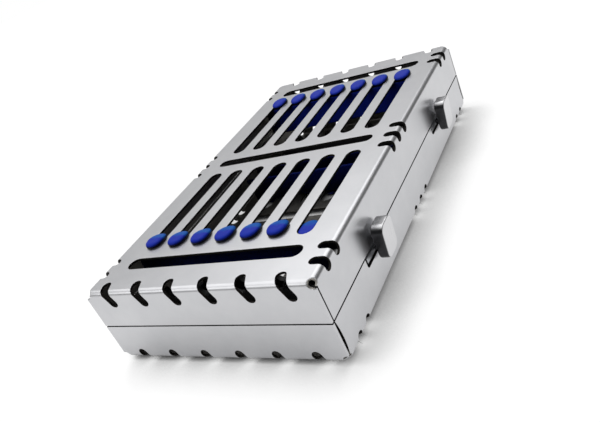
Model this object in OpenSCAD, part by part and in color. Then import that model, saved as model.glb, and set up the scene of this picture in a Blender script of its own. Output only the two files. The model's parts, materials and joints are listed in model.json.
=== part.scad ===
// Instrument cassette: a slotted stainless case that keeps a row of dental hand
// instruments together while they are washed and sterilised. The lid swings on two
// hinges, two finger latches hold it shut, and soft rails grip the instruments.
// Millimetres, Z up. The origin lies on the resting surface under the middle of the
// case. The length runs along Y, the hinges are on the -X side, the latches on +X.

/* [Case] */
// Width of the case, from the hinge side to the latch side
case_w = 100; // [90:1:140]
// Length of the case
case_l = 179; // [170:1:240]
// Thickness of the pressed steel sheet
sheet = 1; // [0.7:0.05:1.2]
// Outer radius of the bend between a plate and its walls
bend_r = 2; // [1.6:0.1:3]
// Height of the base, from the underside of its floor to its rim
base_h = 16.3; // [15:0.1:22]
// Height of the lid, from its top face to its rim
lid_h = 16.3; // [14.5:0.1:22]
// Gap between the two rims when the case is shut
rim_gap = 0.3; // [0.2:0.05:0.6]
// Open seam between the walls at each lid corner
lid_seam = 0.5; // [0.2:0.1:1]
// Open seam between the walls at each base corner
base_seam = 0.5; // [0.2:0.1:1]
// How far the base seam bows open half way up
seam_bow = 0.8; // [0.4:0.1:1.2]
// Radius of the round relief that opens each bent corner
relief_r = 2.3; // [1.8:0.1:2.8]

/* [Slots in the plates] */
// Width of the long slots
slot_w = 6.4; // [4.5:0.1:7]
// Distance between the long slots, centre to centre
slot_pitch = 11.6; // [10.5:0.1:14]
// Least steel left between the outermost long slot and the side of the case
slot_side = 11; // [8:0.5:14]
// Distance from the middle of the case to the inner ends of the long slots
slot_start = 9; // [7:0.5:13]
// Distance from the end of the case to the outer ends of the long slots
slot_end = 25.5; // [24:0.5:32]
// Width of the cross slot near each end
cross_w = 6.4; // [4:0.1:8]
// Distance from the end of the case to the middle of the end cross slot
cross_end = 16.5; // [13:0.5:19]
// Width of the cross slot in the middle
mid_cross_w = 5.5; // [4:0.1:8]
// Steel left between the end of a cross slot and the side of the case
cross_side = 11; // [9:0.5:16]

/* [Slots over the edges] */
// Width of the short slots that wrap over the edges
edge_slot_w = 3.8; // [3:0.1:5]
// Distance between the slots over the short edges
short_edge_pitch = 15.6; // [12:0.1:20]
// Least distance from the outermost short-edge slot to the side of the case
short_edge_side = 8; // [6:0.5:9]
// Distance between the slots of a group over the long edges
long_edge_pitch = 7.8; // [6.5:0.1:9]
// Distance from the end of the case to the middle of the end group
end_group = 14.6; // [12:0.1:16]
// How far a short-edge slot reaches into the plate
short_edge_reach = 6.1; // [4.5:0.1:7]
// How far a long-edge slot reaches into the plate
long_edge_reach = 6; // [4.5:0.1:8]
// The same on the hinge side
hinge_edge_reach = 4; // [3.9:0.1:8]
// Angle by which the short-edge slots lean, toward one side on the plate and the other on the wall
short_edge_lean = 23; // [0:1:30]
// Distance by which each row of short-edge slots is moved toward the side that it leans to
short_edge_shift = 0.6; // [0:0.1:2]
// How far a short-edge slot runs along the lid's wall
lid_short_drop = 7; // [4.2:0.1:9]
// How far a long-edge slot runs along the lid's wall
lid_long_drop = 4; // [4:0.1:7]
// How far a short-edge slot runs along the base's wall
base_short_drop = 4.6; // [4.2:0.1:9]
// How far a long-edge slot runs along the base's wall
base_long_drop = 3; // [2.6:0.1:6]

/* [Soft rails] */
// Distance from the side of the case to the end of every rail
rail_side = 7; // [6.2:0.1:7.5]
// Width of the bar that a channel stands on
bar_w = 9; // [8:0.1:10]
// Height of that bar, below the flare of the channel's walls
bar_h = 3; // [2.5:0.1:4]
// Height of a channel, from its plate to its lips
channel_h = 13; // [10:0.5:13.5]
// Thickness of the channel under its trough
channel_floor = 2; // [1.5:0.1:2.4]
// Thickness of the channel's walls at the bottom of the trough
channel_wall = 1.3; // [1:0.1:1.8]
// Thickness of the channel's lips
lip_t = 1; // [0.8:0.1:1.2]
// Angle by which each channel wall leans outward
flare_angle = 9.6; // [6:0.2:12]
// Distance from the middle of the case to the support on the floor
support_y = 22; // [20:0.5:30]
// Width of the toothed rail
comb_w = 9; // [8:0.1:10]
// Height of the toothed rail
comb_h = 10.5; // [9:0.1:12]
// Width of the groove that splits its teeth in two rows
groove_w = 3.6; // [3:0.1:3.9]
// Height of the bar under that groove
groove_floor = 4; // [3:0.1:5]
// Distance between the notches for the instruments
notch_pitch = 8.4; // [8:0.1:12]
// Radius of each notch
notch_r = 3.9; // [3.2:0.1:3.9]
// How far the centre of a notch lies above the tips of the teeth
notch_lift = 0.3; // [0.1:0.1:0.6]

/* [Studs] */
// Length of a stud's neck along its slot
neck_l = 7; // [6.5:0.1:8]
// Side clearance of a neck in its slot
neck_gap = 0.2; // [0.1:0.05:0.4]
// How far the necks of the toothed rail stand back from the slots' ends
comb_back = 1.5; // [0.5:0.1:3]
// Width of a stud's head across its slot
head_w = 8.5; // [7.4:0.1:9]
// Length of a stud's head along its slot
head_l = 10.8; // [10:0.1:13]
// Radius of the head's outer end
head_tip_r = 2; // [1.2:0.1:2.5]
// Radius of its end toward the middle of the case
head_back_r = 2.8; // [2:0.1:3.5]
// Thickness of a stud's head
head_t = 1.9; // [1.6:0.1:3]
// Radius of the dome that rounds off the head
head_dome_r = 12; // [9:0.5:16]
// Radius of the flat left on the head
head_flat_r = 3.2; // [2:0.1:3.5]
// How far the stud that is not pulled through stays below the plate
sunk_stud = 0.4; // [0.2:0.1:0.8]
// Extra length of that stud toward the middle of the case
sunk_stud_extra = 2.1; // [0:0.1:4]

/* [Latches] */
// Distance from the middle of the case to each latch
latch_y = 46.2; // [40:0.1:52]
// Width of the finger button
button_w = 10; // [8:0.1:14]
// Height of the finger button
button_h = 13.7; // [10:0.1:15]
// Radius of the button's corners
button_r = 3; // [1:0.1:4]
// Gap between the wall and the button, which is its finger travel
button_gap = 1.2; // [1.2:0.05:2]
// How far the top of the button stands out from the wall
button_out = 6; // [4:0.1:8]
// How much less the bottom of the button stands out
button_taper = 1.2; // [0:0.1:2]
// Thickness of the spring strip
strip_t = 0.8; // [0.5:0.05:0.9]
// Width of the spring strip
strip_w = 22; // [16:0.5:24]
// Gap between the strip and the wall behind which it hangs
strip_gap = 1.3; // [1.2:0.05:1.6]
// How far the fold of the strip lies below the lid's top face
fold_drop = 5.5; // [5:0.1:6.5]
// Slit at the fold between the fixed end and the arm
fold_gap = 0.1; // [0.05:0.05:0.2]
// How far the fixed end stops short of the lid's bend
flange_back = 0.2; // [0.1:0.1:0.8]
// Height of the raised panel that shows in the rim's notch
panel_h = 1.8; // [1.4:0.1:2]
// How far the top of the panel lies below the lid's rim
panel_below = 1.2; // [1.1:0.1:1.4]
// How far the panel lies back from the outside of the wall
panel_back = 0.2; // [0.1:0.05:0.4]
// Angle at which the strip steps out to the panel
joggle_angle = 45; // [40:1:50]
// Width of the shank between the panel and the button
shank_w = 8; // [5:0.1:9]
// Edge left free on the panel above and below the shank
shank_edge = 0.1; // [0.05:0.05:0.3]
// Depth of the notch in the base's rim
notch_depth = 4; // [3.9:0.1:5]
// Side clearance of the strip in that notch
notch_side = 1.3; // [0.6:0.1:2]
// Radius in the lower corners of that notch
notch_corner_r = 1.2; // [0.5:0.1:2]
// Height of the keeper that the tooth hooks under
keeper_h = 1.4; // [1:0.1:2]
// Thickness of the keeper
keeper_t = 0.5; // [0.3:0.05:0.5]
// Width of the keeper
keeper_w = 14; // [8:0.5:16]
// Distance from the base's rim down to the keeper
keeper_drop = 6.4; // [6:0.1:7.5]
// Gap between the keeper and the tooth under it
catch_play = 0.6; // [0.4:0.1:1]
// Height of the tooth at the end of the strip
tooth_h = 1; // [0.8:0.1:1.5]
// How far the tooth stands out from the strip
tooth_out = 0.4; // [0.2:0.05:0.4]

/* [Hinges] */
// Distance from the middle of the case to each hinge
hinge_y = 47; // [35:0.5:55]
// Length of each hinge
hinge_l = 24; // [18:0.5:30]
// Length of the knuckle in the middle
mid_knuckle = 9.4; // [6:0.1:12]
// Gap between neighbouring knuckles
knuckle_gap = 0.3; // [0.2:0.05:0.5]
// Distance from the wall to the middle of the pin
hinge_out = 2.5; // [2.45:0.05:3.2]
// Radius of the hinge pin
pin_r = 1.25; // [1:0.05:1.3]
// Running clearance between the pin and a knuckle
pin_play = 0.05; // [0.03:0.01:0.08]
// Thickness of the hinge leaves
leaf_t = 0.8; // [0.6:0.05:0.8]
// Height of each leaf on its wall
leaf_h = 10.5; // [8:0.1:11]
// How far a leaf stays away from the pin beside the other leaf's knuckles
leaf_back = 1.6; // [1.6:0.05:2.2]
// How far a leaf stops short of the joint line beside its own knuckles
leaf_stop = 0.25; // [0.2:0.05:0.5]
// Radius of the pin's heads
pin_head_r = 1.8; // [1.5:0.1:2]
// Thickness of the pin's heads
pin_head_t = 0.8; // [0.5:0.1:1.2]
// Radius of the spot-weld dimples
weld_r = 1.2; // [0.8:0.1:1.6]
// Depth of the spot-weld dimples
weld_depth = 0.15; // [0.05:0.05:0.25]
// Distance between the spot-weld dimples
weld_pitch = 8; // [5:0.5:8.5]

/* [Hidden] */
$fn = 48;

steel_colour = [0.78, 0.79, 0.81];
dull_steel_colour = [0.62, 0.63, 0.65];
blue_colour = [0.12, 0.19, 0.75];
black_colour = [0.07, 0.07, 0.08];

// Overrun of every cut past the face that it opens
over = sheet / 2;

// Distance from a wall's face to the line, a quarter sheet outside the middle of its bend, on
// which the two halves of a slot over that bend meet without a step
bend_mid = bend_r - (bend_r + sheet / 4) * sqrt(1 / 2);

// Heights, counted from the surface that the stud heads stand on
floor_z = head_t;
base_rim_z = floor_z + base_h;
lid_rim_z = base_rim_z + rim_gap;
lid_top_z = lid_rim_z + lid_h;
joint_z = (base_rim_z + lid_rim_z) / 2;

// The row of long slots, shared by the plates and by the studs that pass through them
slot_n = floor((case_w - 2 * slot_side - slot_w) / slot_pitch) + 1;
slot_x = [for (i = [0:slot_n - 1]) (i - (slot_n - 1) / 2) * slot_pitch];
slot_end_y = case_l / 2 - slot_end;
cross_l = case_w - 2 * cross_side;

// The slots over the edges
short_edge_n = floor((case_w - 2 * short_edge_side - edge_slot_w) / short_edge_pitch) + 1;
short_edge_x = [for (i = [0:short_edge_n - 1]) (i - (short_edge_n - 1) / 2) * short_edge_pitch];
end_group_y = case_l / 2 - end_group;
long_edge_y = [
    -end_group_y - long_edge_pitch / 2, -end_group_y + long_edge_pitch / 2,
    -long_edge_pitch, 0, long_edge_pitch,
    end_group_y - long_edge_pitch / 2, end_group_y + long_edge_pitch / 2
];

// The rails and their studs
rail_l = case_w - 2 * rail_side;
neck_w = slot_w - 2 * neck_gap;
hold_down_y = slot_end_y - neck_gap - neck_l / 2;
comb_y = slot_end_y - comb_back - neck_l / 2;
notch_n = floor(rail_l / notch_pitch);
notch_x = [for (i = [0:notch_n - 1]) (i - (notch_n - 1) / 2) * notch_pitch];

// The latch strip, seen along Y: the faces of the arm, the panel and the tooth
wall_in_x = case_w / 2 - sheet;
arm_out_x = wall_in_x - strip_gap;
arm_in_x = arm_out_x - strip_t;
panel_x = case_w / 2 - panel_back;
joggle_z = (panel_x - arm_out_x) / tan(joggle_angle);
joggle_shift = strip_t * tan(joggle_angle / 2);
panel_top_z = lid_rim_z - panel_below;
panel_low_z = panel_top_z - panel_h;
fold_z = lid_top_z - fold_drop;
keeper_top_z = base_rim_z - keeper_drop;
tooth_top_z = keeper_top_z - keeper_h - catch_play;
arm_low_z = tooth_top_z - tooth_h;
button_in_x = case_w / 2 + button_gap;

// The hinges
hinge_x = -case_w / 2 - hinge_out;
bore_r = pin_r + pin_play;
barrel_r = bore_r + leaf_t;
end_knuckle = (hinge_l - mid_knuckle) / 2 - knuckle_gap;
weld_z = (leaf_back + leaf_h) / 2;

// The children and their mirror image
module both(way) {
    children();
    mirror(way)
        children();
}

// Outline of a slot with round ends, along Y
module slot_outline(length, width) {
    square([width, length - width], center = true);
    both([0, 1])
        translate([0, (length - width) / 2])
            circle(d = width);
}

// Bent strip between a plate and the wall on +X, round the bend's own centre
module bend_strip(length) {
    rotate([90, 0, 0])
        linear_extrude(height = length, center = true)
            intersection() {
                difference() {
                    circle(r = bend_r);
                    circle(r = bend_r - sheet);
                }
                translate([0, -bend_r])
                    square(bend_r);
            }
}

// One wall on +X with its bend: the case is `across` wide there, the wall `along` long
// and its bend `bent` long
module wall(across, along, bent, height) {
    translate([across / 2 - bend_r, 0, bend_r])
        bend_strip(bent);
    translate([across / 2 - sheet, -along / 2, bend_r])
        cube([sheet, along, height - bend_r]);
}

// Pressed shell standing on its plate: the short walls run the full width and the long
// walls stop at an open seam, which bows by `bow`
module shell(height, seam, bow) {
    flat_w = case_w - 2 * bend_r;
    flat_l = case_l - 2 * bend_r;
    long_wall = case_l - 2 * (sheet + seam);
    wall_h = height - bend_r;
    bow_r = bow > 0 ? (wall_h * wall_h / 4 + bow * bow) / (2 * bow) : 0;
    difference() {
        union() {
            translate([-flat_w / 2, -flat_l / 2, 0])
                cube([flat_w, flat_l, sheet]);
            both([1, 0, 0])
                wall(case_w, long_wall, flat_l, height);
            both([0, 1, 0])
                rotate([0, 0, 90])
                    wall(case_l, case_w, flat_w, height);
        }
        both([1, 0, 0])
            both([0, 1, 0])
                translate([(case_w - sheet) / 2, (case_l - sheet) / 2, sheet / 2])
                    sphere(r = relief_r);
        if (bow > 0)
            both([1, 0, 0])
                both([0, 1, 0])
                    translate([case_w / 2 - sheet - over, long_wall / 2 - bow + bow_r, bend_r + wall_h / 2])
                        rotate([0, 90, 0])
                            intersection() {
                                cylinder(r = bow_r, h = sheet + 2 * over);
                                translate([-wall_h / 2, -bow_r - over, 0])
                                    cube([wall_h, bow + over, sheet + 2 * over]);
                            }
    }
}

// Half of the cut of one slot over the edge on +X: the part in the plate, up to the middle
// of the bend. The slot crosses the bend at y = 0 and leans by an angle
module edge_slot_half(length, lean) {
    slot_r = edge_slot_w / 2;
    round_x = slot_r - length;
    intersection() {
        translate([0, 0, -over])
            linear_extrude(height = bend_r + 2 * over)
                translate([round_x, (round_x + bend_mid) * tan(lean)]) {
                    circle(r = slot_r);
                    rotate(lean)
                        translate([0, -slot_r])
                            square([length + bend_r, edge_slot_w]);
                }
        rotate([90, 0, 0])
            linear_extrude(height = 2 * (length + edge_slot_w), center = true)
                polygon([
                    [-length - over, -over], [over, -over],
                    [-bend_r - over, bend_r + over], [-length - over, bend_r + over]
                ]);
    }
}

// Cut of one slot over the edge on +X, from the plate's underside and the wall's face
module edge_slot(reach, drop, lean) {
    edge_slot_half(reach, lean);
    mirror([1, 0, 1])
        edge_slot_half(drop, -lean);
}

// All slots of one shell: long slots, cross slots and the slots over its edges. The rows over
// the two short edges are the same, turned round the middle of the plate
module slots(short_drop, long_drop, lean, shift) {
    translate([0, 0, -over])
        linear_extrude(height = sheet + 2 * over) {
            for (x = slot_x)
                both([0, 1])
                    translate([x, (slot_start + slot_end_y) / 2])
                        slot_outline(slot_end_y - slot_start, slot_w);
            both([0, 1])
                translate([0, case_l / 2 - cross_end])
                    rotate(90)
                        slot_outline(cross_l, cross_w);
            rotate(90)
                slot_outline(cross_l, mid_cross_w);
        }
    for (y = long_edge_y) {
        translate([case_w / 2, y, 0])
            edge_slot(long_edge_reach, long_drop, 0);
        translate([-case_w / 2, y, 0])
            rotate([0, 0, 180])
                edge_slot(hinge_edge_reach, long_drop, 0);
    }
    for (turn = [0, 180])
        rotate([0, 0, turn])
            for (x = short_edge_x)
                translate([x - shift, -case_l / 2, 0])
                    rotate([0, 0, -90])
                        edge_slot(short_edge_reach, short_drop, lean);
}

// Notch in the base's rim that the latch panel shows through
module rim_notch() {
    width = strip_w + 2 * notch_side;
    translate([wall_in_x - over, 0, base_rim_z])
        rotate([90, 0, 90])
            linear_extrude(height = sheet + 2 * over) {
                translate([-width / 2, notch_corner_r - notch_depth])
                    square([width, notch_depth]);
                translate([notch_corner_r - width / 2, -notch_depth])
                    square([width - 2 * notch_corner_r, notch_depth]);
                both([1, 0])
                    translate([width / 2 - notch_corner_r, notch_corner_r - notch_depth])
                        circle(r = notch_corner_r);
            }
}

// Places the children at the near and at the far one of a pair
module at_near(y) {
    translate([0, -y, 0])
        mirror([0, 1, 0])
            children();
}

module at_far(y) {
    translate([0, y, 0])
        children();
}

// Turns a rail that stands on its plate into one that hangs under the lid
module under_lid() {
    translate([0, 0, lid_top_z - sheet])
        mirror([0, 0, 1])
            children();
}

module on_floor() {
    translate([0, 0, floor_z + sheet])
        children();
}

// Flanks that join the round of the head's widest part to the smaller round at one end,
// and that round, toward +Y
module head_end(end_r) {
    wide_r = head_w / 2;
    end_y = head_l / 2 - end_r;
    // Angle at which the straight flanks touch both rounds
    flank_angle = asin((wide_r - end_r) / end_y);
    translate([0, end_y])
        circle(r = end_r);
    polygon([
        [wide_r * cos(flank_angle), wide_r * sin(flank_angle)],
        [end_r * cos(flank_angle), end_y + end_r * sin(flank_angle)],
        [-end_r * cos(flank_angle), end_y + end_r * sin(flank_angle)],
        [-wide_r * cos(flank_angle), wide_r * sin(flank_angle)]
    ]);
}

// Outline of a stud's head, a pointed oval with its outer end along +Y
module head_outline() {
    circle(d = head_w);
    head_end(head_tip_r);
    mirror([0, 1])
        head_end(head_back_r);
}

// Stud below a rail: the neck fills the slot and the head lies against the plate
module stud() {
    translate([0, 0, -sheet - over])
        linear_extrude(height = sheet + 2 * over)
            slot_outline(neck_l, neck_w);
    translate([0, 0, -sheet - head_t])
        intersection() {
            linear_extrude(height = head_t)
                head_outline();
            translate([0, 0, sqrt(head_dome_r * head_dome_r - head_flat_r * head_flat_r)])
                sphere(r = head_dome_r);
        }
}

// Stud that was not pulled through its slot: a thick neck that ends inside the plate
module sunk_stud_neck() {
    translate([0, -sunk_stud_extra / 2, sunk_stud - sheet])
        linear_extrude(height = sheet - sunk_stud + over)
            slot_outline(neck_l + sunk_stud_extra, neck_w);
}

// Channel along X on a plate: a bar with two thin walls that lean outward
module channel() {
    bar_half = bar_w / 2;
    lip_z = channel_h - lip_t / 2;
    lip_half = bar_half + (lip_z - bar_h) * tan(flare_angle);
    rotate([90, 0, 90])
        linear_extrude(height = rail_l, center = true) {
            polygon([
                [-bar_half, 0], [bar_half, 0], [bar_half, bar_h],
                [lip_half, lip_z], [lip_half - lip_t, lip_z],
                [bar_half - channel_wall, bar_h], [bar_half - 2 * channel_wall, channel_floor],
                [2 * channel_wall - bar_half, channel_floor], [channel_wall - bar_half, bar_h],
                [lip_t - lip_half, lip_z], [-lip_half, lip_z],
                [-bar_half, bar_h]
            ]);
            both([1, 0])
                translate([lip_half - lip_t / 2, lip_z])
                    circle(d = lip_t);
        }
}

// Toothed rail along X: notches across it and a groove along it
module comb() {
    difference() {
        rotate([90, 0, 0])
            linear_extrude(height = comb_w, center = true)
                difference() {
                    translate([-rail_l / 2, 0])
                        square([rail_l, comb_h]);
                    for (x = notch_x)
                        translate([x, comb_h + notch_lift])
                            circle(r = notch_r);
                }
        translate([-rail_l / 2 - over, -groove_w / 2, groove_floor])
            cube([rail_l + 2 * over, groove_w, comb_h]);
    }
    for (x = slot_x)
        translate([x, 0, 0])
            stud();
}

// Finger button, seen along Y a wedge and seen along X a rounded square
module button() {
    out_x = case_w / 2 + button_out;
    low_x = out_x - button_taper;
    intersection() {
        translate([button_in_x, 0, joint_z])
            rotate([90, 0, 90])
                linear_extrude(height = button_out) {
                    square([button_w, button_h - 2 * button_r], center = true);
                    square([button_w - 2 * button_r, button_h], center = true);
                    both([1, 0])
                        both([0, 1])
                            translate([button_w / 2 - button_r, button_h / 2 - button_r])
                                circle(r = button_r);
                }
        translate([0, 0, joint_z])
            rotate([90, 0, 0])
                linear_extrude(height = button_w + 2 * over, center = true)
                    polygon([
                        [button_in_x, -button_h / 2], [low_x, -button_h / 2],
                        [out_x, button_h / 2], [button_in_x, button_h / 2]
                    ]);
    }
    translate([panel_x, -shank_w / 2, panel_low_z + shank_edge])
        cube([button_in_x - panel_x, shank_w, panel_h - 2 * shank_edge]);
}

// Free arm of the latch strip: down behind the wall, out to the panel that shows in the
// notch, back in, and down to the tooth
module spring() {
    rotate([90, 0, 0])
        linear_extrude(height = strip_w, center = true)
            polygon([
                [arm_out_x, fold_z],
                [arm_out_x, panel_top_z + joggle_z],
                [panel_x, panel_top_z],
                [panel_x, panel_low_z],
                [arm_out_x, panel_low_z - joggle_z],
                [arm_out_x, tooth_top_z],
                [arm_out_x + tooth_out, tooth_top_z],
                [arm_out_x + tooth_out, arm_low_z],
                [arm_in_x, arm_low_z],
                [arm_in_x, panel_low_z - joggle_z + joggle_shift],
                [panel_x - strip_t, panel_low_z + joggle_shift],
                [panel_x - strip_t, panel_top_z - joggle_shift],
                [arm_in_x, panel_top_z + joggle_z - joggle_shift],
                [arm_in_x, fold_z]
            ]);
}

// Fixed end of the latch strip: a ledge over the fold and a flange on the lid's wall
module mount() {
    ledge_z = fold_z + fold_gap;
    rotate([90, 0, 0])
        linear_extrude(height = strip_w, center = true)
            polygon([
                [arm_in_x, ledge_z], [wall_in_x, ledge_z],
                [wall_in_x, lid_top_z - bend_r - flange_back],
                [wall_in_x - strip_t, lid_top_z - bend_r - flange_back],
                [wall_in_x - strip_t, ledge_z + strip_t],
                [arm_in_x, ledge_z + strip_t]
            ]);
}

// Strip inside the base's wall that the tooth hooks under
module keeper() {
    translate([wall_in_x - keeper_t, -keeper_w / 2, keeper_top_z - keeper_h])
        cube([keeper_t, keeper_w, keeper_h]);
}

// Knuckles of one leaf round the pin, solid, centred on the hinge
module knuckles(middle) {
    if (middle)
        cylinder(r = barrel_r, h = mid_knuckle, center = true);
    else
        both([0, 0, 1])
            translate([0, 0, hinge_l / 2 - end_knuckle])
                cylinder(r = barrel_r, h = end_knuckle);
}

// Hinge leaf on the wall below the joint line, with the middle or the end knuckles. The
// plate stays back from the pin beside the other leaf's knuckles
module leaf(middle) {
    mid_clear = mid_knuckle + 2 * knuckle_gap;
    end_clear = end_knuckle + knuckle_gap + over;
    difference() {
        union() {
            translate([hinge_out - leaf_t, -hinge_l / 2, -leaf_h])
                cube([leaf_t, hinge_l, leaf_h - leaf_stop]);
            rotate([90, 0, 0])
                knuckles(middle);
        }
        if (middle)
            both([0, 1, 0])
                translate([hinge_out - leaf_t - over, hinge_l / 2 + over - end_clear, -leaf_back])
                    cube([leaf_t + 2 * over, end_clear, leaf_back + over]);
        else
            translate([hinge_out - leaf_t - over, -mid_clear / 2, -leaf_back])
                cube([leaf_t + 2 * over, mid_clear, leaf_back + over]);
        rotate([90, 0, 0])
            cylinder(r = bore_r, h = hinge_l + 2 * over, center = true);
        for (y = [-weld_pitch, 0, weld_pitch])
            translate([hinge_out - leaf_t - over, y, -weld_z])
                rotate([0, 90, 0])
                    cylinder(r = weld_r, h = weld_depth + over);
    }
}

// Moves what is drawn round the pin to the hinge
module at_pin() {
    translate([hinge_x, 0, joint_z])
        children();
}

// Hinge pin with a flat head at each end
module pin() {
    rotate([90, 0, 0]) {
        cylinder(r = pin_r, h = hinge_l, center = true);
        both([0, 0, 1])
            translate([0, 0, hinge_l / 2])
                cylinder(r = pin_head_r, h = pin_head_t);
    }
}

// The steel base: floor with walls up to the joint line
module base_tray() {
    color(steel_colour)
        difference() {
            translate([0, 0, floor_z])
                difference() {
                    shell(base_h, base_seam, seam_bow);
                    slots(base_short_drop, base_long_drop, -short_edge_lean, -short_edge_shift);
                }
            both([0, 1, 0])
                translate([0, latch_y, 0])
                    rim_notch();
        }
}

// The steel lid: the same pressing upside down, with deeper slots over its edges
module lid_cover() {
    color(steel_colour)
        translate([0, 0, lid_top_z])
            mirror([0, 0, 1])
                difference() {
                    shell(lid_h, lid_seam, 0);
                    slots(lid_short_drop, lid_long_drop, short_edge_lean, short_edge_shift);
                }
}

// Soft channels under the lid, their stud heads on top of it. The last stud of the near
// one is not pulled through
module near_hold_down() {
    color(blue_colour)
        at_near(hold_down_y)
            under_lid() {
                channel();
                for (i = [0:slot_n - 2])
                    translate([slot_x[i], 0, 0])
                        stud();
                translate([slot_x[slot_n - 1], 0, 0])
                    sunk_stud_neck();
            }
}

module far_hold_down() {
    color(blue_colour)
        at_far(hold_down_y)
            under_lid() {
                channel();
                for (x = slot_x)
                    translate([x, 0, 0])
                        stud();
            }
}

// Toothed rails on the floor, their stud heads are the feet of the case
module near_comb() {
    color(black_colour)
        at_near(comb_y)
            on_floor()
                comb();
}

module far_comb() {
    color(black_colour)
        at_far(comb_y)
            on_floor()
                comb();
}

// The same channel on the floor, which carries the middle of the instruments
module middle_support() {
    color(blue_colour)
        at_far(support_y)
            on_floor() {
                channel();
                for (x = slot_x)
                    translate([x, 0, 0])
                        stud();
            }
}

module near_hinge_base_leaf() {
    color(steel_colour)
        at_near(hinge_y)
            at_pin()
                leaf(false);
}

module far_hinge_base_leaf() {
    color(steel_colour)
        at_far(hinge_y)
            at_pin()
                leaf(false);
}

module near_hinge_lid_leaf() {
    color(steel_colour)
        at_near(hinge_y)
            at_pin()
                mirror([0, 0, 1])
                    leaf(true);
}

module far_hinge_lid_leaf() {
    color(steel_colour)
        at_far(hinge_y)
            at_pin()
                mirror([0, 0, 1])
                    leaf(true);
}

module near_hinge_pin() {
    color(dull_steel_colour)
        at_near(hinge_y)
            at_pin()
                pin();
}

module far_hinge_pin() {
    color(dull_steel_colour)
        at_far(hinge_y)
            at_pin()
                pin();
}

module near_latch_button() {
    color(steel_colour)
        at_near(latch_y)
            button();
}

module far_latch_button() {
    color(steel_colour)
        at_far(latch_y)
            button();
}

module near_latch_spring() {
    color(dull_steel_colour)
        at_near(latch_y)
            spring();
}

module far_latch_spring() {
    color(dull_steel_colour)
        at_far(latch_y)
            spring();
}

module near_latch_mount() {
    color(dull_steel_colour)
        at_near(latch_y)
            mount();
}

module far_latch_mount() {
    color(dull_steel_colour)
        at_far(latch_y)
            mount();
}

module near_latch_keeper() {
    color(dull_steel_colour)
        at_near(latch_y)
            keeper();
}

module far_latch_keeper() {
    color(dull_steel_colour)
        at_far(latch_y)
            keeper();
}

base_tray();
lid_cover();
near_hold_down();
far_hold_down();
near_comb();
far_comb();
middle_support();
near_hinge_base_leaf();
far_hinge_base_leaf();
near_hinge_lid_leaf();
far_hinge_lid_leaf();
near_hinge_pin();
far_hinge_pin();
near_latch_button();
far_latch_button();
near_latch_spring();
far_latch_spring();
near_latch_mount();
far_latch_mount();
near_latch_keeper();
far_latch_keeper();
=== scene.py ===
import json
import math
import bmesh
import bpy
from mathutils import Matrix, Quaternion, Vector

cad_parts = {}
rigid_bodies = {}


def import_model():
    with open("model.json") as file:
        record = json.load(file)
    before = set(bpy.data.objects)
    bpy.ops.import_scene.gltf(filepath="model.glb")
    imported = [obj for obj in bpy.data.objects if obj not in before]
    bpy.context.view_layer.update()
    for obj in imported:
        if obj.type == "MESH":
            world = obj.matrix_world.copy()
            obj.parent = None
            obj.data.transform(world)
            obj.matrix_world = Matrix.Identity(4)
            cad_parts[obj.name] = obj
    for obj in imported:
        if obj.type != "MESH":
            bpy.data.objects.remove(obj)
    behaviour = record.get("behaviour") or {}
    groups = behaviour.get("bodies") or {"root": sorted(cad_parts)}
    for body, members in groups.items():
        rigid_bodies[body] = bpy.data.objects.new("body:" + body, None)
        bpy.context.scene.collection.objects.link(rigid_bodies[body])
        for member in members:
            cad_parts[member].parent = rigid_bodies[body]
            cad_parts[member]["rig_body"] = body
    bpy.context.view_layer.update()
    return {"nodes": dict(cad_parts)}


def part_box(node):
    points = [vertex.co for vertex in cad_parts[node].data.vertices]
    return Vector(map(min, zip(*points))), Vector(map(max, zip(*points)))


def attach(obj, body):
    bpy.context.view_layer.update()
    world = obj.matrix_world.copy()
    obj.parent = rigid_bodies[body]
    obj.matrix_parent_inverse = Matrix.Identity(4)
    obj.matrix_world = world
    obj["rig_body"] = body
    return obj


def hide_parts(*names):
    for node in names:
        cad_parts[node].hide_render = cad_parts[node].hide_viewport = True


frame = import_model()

scene = bpy.context.scene
scene.view_settings.view_transform = "Standard"

# The view: a camera a little above the case, looking over its near latch corner with the
# camera tipped on its side, so the case runs up the picture from left to right.
eye_mm = (146.79, -211.96, 134.84)
aim_mm = (7.320, -22.154, 18.0)
roll_deg = 25.030
focal_px = 637.88          # in a picture as wide as picture_px
picture_px = 600
sensor_mm = 36.0
nearest_m, farthest_m = 0.01, 100.0

camera = bpy.data.objects.new("camera", bpy.data.cameras.new("camera"))
scene.collection.objects.link(camera)
camera.data.sensor_width = sensor_mm
camera.data.lens = focal_px / picture_px * sensor_mm
camera.data.clip_start = nearest_m
camera.data.clip_end = farthest_m
eye = Vector(eye_mm) / 1000
aim = Vector(aim_mm) / 1000
camera.rotation_mode = "QUATERNION"
camera.location = eye
camera.rotation_quaternion = (aim - eye).to_track_quat("-Z", "Y") @ Quaternion(
    (0, 0, 1), -math.radians(roll_deg))
scene.camera = camera


# The table and the light: a white table, one very wide soft lamp overhead, a smaller one behind
# the case and one by its near hinge corner, and surroundings that are paler overhead.
def linear(hex_colour):
    """A colour written as sRGB hex, in the linear values that a shader takes."""
    parts = [int(hex_colour[i:i + 2], 16) / 255 for i in (1, 3, 5)]
    return [c / 12.92 if c <= 0.04045 else ((c + 0.055) / 1.055) ** 2.4 for c in parts] + [1.0]


def put(tree, kind, values=None, feeds=None, **settings):
    """Adds a node to a tree: its settings, the values on its sockets and what feeds them."""
    node = tree.nodes.new(kind)
    for name, value in settings.items():
        setattr(node, name, value)
    for socket, value in (values or {}).items():
        node.inputs[socket].default_value = value
    for socket, source in (feeds or {}).items():
        tree.links.new(source, node.inputs[socket])
    return node


def blank(holder):
    """The empty node tree of a new material or world."""
    holder.use_nodes = True
    holder.node_tree.nodes.clear()
    return holder.node_tree


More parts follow.
